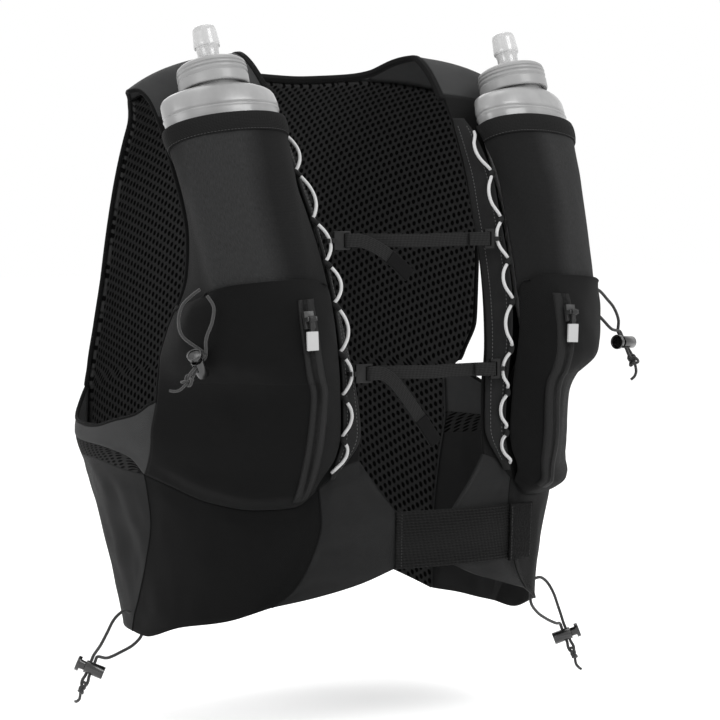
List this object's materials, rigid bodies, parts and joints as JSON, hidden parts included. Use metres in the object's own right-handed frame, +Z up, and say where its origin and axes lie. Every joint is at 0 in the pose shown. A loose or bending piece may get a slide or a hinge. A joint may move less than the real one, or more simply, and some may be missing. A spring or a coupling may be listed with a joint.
{
  "type": "running hydration vest",
  "caption": "Running hydration vest: soft flasks in chest pockets, zip pockets, laced front edges, chest straps, elastic waistband, mesh back and pole cords with barrel locks.",
  "frame": {"origin": "midway between the undersides of the shoulder straps, on the ridge line where the shoulders carry the vest", "axes": "+X towards the wearer's left, -Y to the vest's front, +Z up"},
  "size_m": [0.4161, 0.2858, 0.4685],
  "materials": {
    "shell_cloth": "fine ripstop weave, matt",
    "pocket_cloth": "stretch knit, matt",
    "stretch_hem": "bound stretch edge",
    "spacer_mesh": "open spacer mesh",
    "zip_tape": "coil zip",
    "slider_metal": "dark satin",
    "pull_tab": "matt moulded",
    "flask_film": "frosted soft film",
    "cap_plastic": "moulded",
    "valve_silicone": "clear moulded",
    "lace_cord": "braided cord",
    "pole_cord": "braided elastic cord",
    "webbing": "ribbed elastic webbing",
    "hard_plastic": "satin moulded"
  },
  "bodies": {
    "vest": {"front_panel_right": "pocket_cloth", "shoulder_strap_right": "shell_cloth", "underarm_panel_right": "shell_cloth", "side_mesh_right": "spacer_mesh", "side_panel_right": "shell_cloth", "front_skirt_right": "pocket_cloth", "waist_panel_right": "shell_cloth", "edge_tape_right": "pocket_cloth", "flask_right": "flask_film", "flask_pocket_right": "pocket_cloth", "pocket_hem_right": "stretch_hem", "zip_pocket_right": "pocket_cloth", "zip_right": "zip_tape", "zip_slider_right": "slider_metal", "lace_right": "lace_cord", "front_panel_left": "pocket_cloth", "shoulder_strap_left": "shell_cloth", "underarm_panel_left": "shell_cloth", "side_mesh_left": "spacer_mesh", "side_panel_left": "shell_cloth", "front_skirt_left": "pocket_cloth", "waist_panel_left": "shell_cloth", "edge_tape_left": "pocket_cloth", "flask_left": "flask_film", "flask_pocket_left": "pocket_cloth", "pocket_hem_left": "stretch_hem", "zip_pocket_left": "pocket_cloth", "zip_left": "zip_tape", "zip_slider_left": "slider_metal", "lace_left": "lace_cord", "back_panel": "shell_cloth", "back_mesh": "spacer_mesh", "neck_binding": "pocket_cloth", "waistband": "webbing", "waistband_tab": "webbing", "strap_hook_upper": "hard_plastic", "strap_buckle_upper": "hard_plastic", "chest_strap_upper": "webbing", "strap_hook_lower": "hard_plastic", "strap_buckle_lower": "hard_plastic", "chest_strap_lower": "webbing", "pole_cord_chest_right": "pole_cord", "cord_lock_chest_right": "hard_plastic", "pole_cord_chest_left": "pole_cord", "cord_lock_chest_left": "hard_plastic", "pole_cord_hem_right": "pole_cord", "cord_lock_hem_right": "hard_plastic", "pole_cord_hem_left": "pole_cord", "cord_lock_hem_left": "hard_plastic"},
    "cap_right": {"flask_cap_right": "cap_plastic", "bite_valve_right": "valve_silicone"},
    "pull_right": {"zip_pull_right": "pull_tab"},
    "cap_left": {"flask_cap_left": "cap_plastic", "bite_valve_left": "valve_silicone"},
    "pull_left": {"zip_pull_left": "pull_tab"},
    "button_chest_right": {"lock_button_chest_right": "hard_plastic"},
    "button_chest_left": {"lock_button_chest_left": "hard_plastic"},
    "button_hem_right": {"lock_button_hem_right": "hard_plastic"},
    "button_hem_left": {"lock_button_hem_left": "hard_plastic"}
  },
  "joints": [
    {"name": "flask_cap_right_turn", "type": "hinge", "parent": "vest", "child": "cap_right", "pos_m": [-0.12697, -0.05702, -0.0239], "axis": [0, 0.342, 0.9397], "range_deg": [0, 450]},
    {"name": "zip_pull_right_hinge", "type": "hinge", "parent": "vest", "child": "pull_right", "pos_m": [-0.10896, -0.15752, -0.17987], "axis": [-0.9989, 0.0224, -0.0413], "range_deg": [0, 140]},
    {"name": "flask_cap_left_turn", "type": "hinge", "parent": "vest", "child": "cap_left", "pos_m": [0.12697, -0.05702, -0.0239], "axis": [0, 0.342, 0.9397], "range_deg": [0, 450]},
    {"name": "zip_pull_left_hinge", "type": "hinge", "parent": "vest", "child": "pull_left", "pos_m": [0.10896, -0.15752, -0.17987], "axis": [-0.9989, -0.0224, 0.0413], "range_deg": [0, 140]},
    {"name": "lock_button_chest_right_press", "type": "slide", "parent": "vest", "child": "button_chest_right", "axis": [0.5656, 0.3807, -0.7315], "range_m": [0, 0.0035], "stiffness_N_per_m": 300, "springref_m": -0.003},
    {"name": "lock_button_chest_left_press", "type": "slide", "parent": "vest", "child": "button_chest_left", "axis": [0.9314, 0.3605, -0.0501], "range_m": [0, 0.0035], "stiffness_N_per_m": 300, "springref_m": -0.003},
    {"name": "lock_button_hem_right_press", "type": "slide", "parent": "vest", "child": "button_hem_right", "axis": [0.7828, -0.4917, -0.3814], "range_m": [0, 0.0035], "stiffness_N_per_m": 300, "springref_m": -0.003},
    {"name": "lock_button_hem_left_press", "type": "slide", "parent": "vest", "child": "button_hem_left", "axis": [-0.7903, 0.494, -0.3625], "range_m": [0, 0.0035], "stiffness_N_per_m": 300, "springref_m": -0.003}
  ]
}
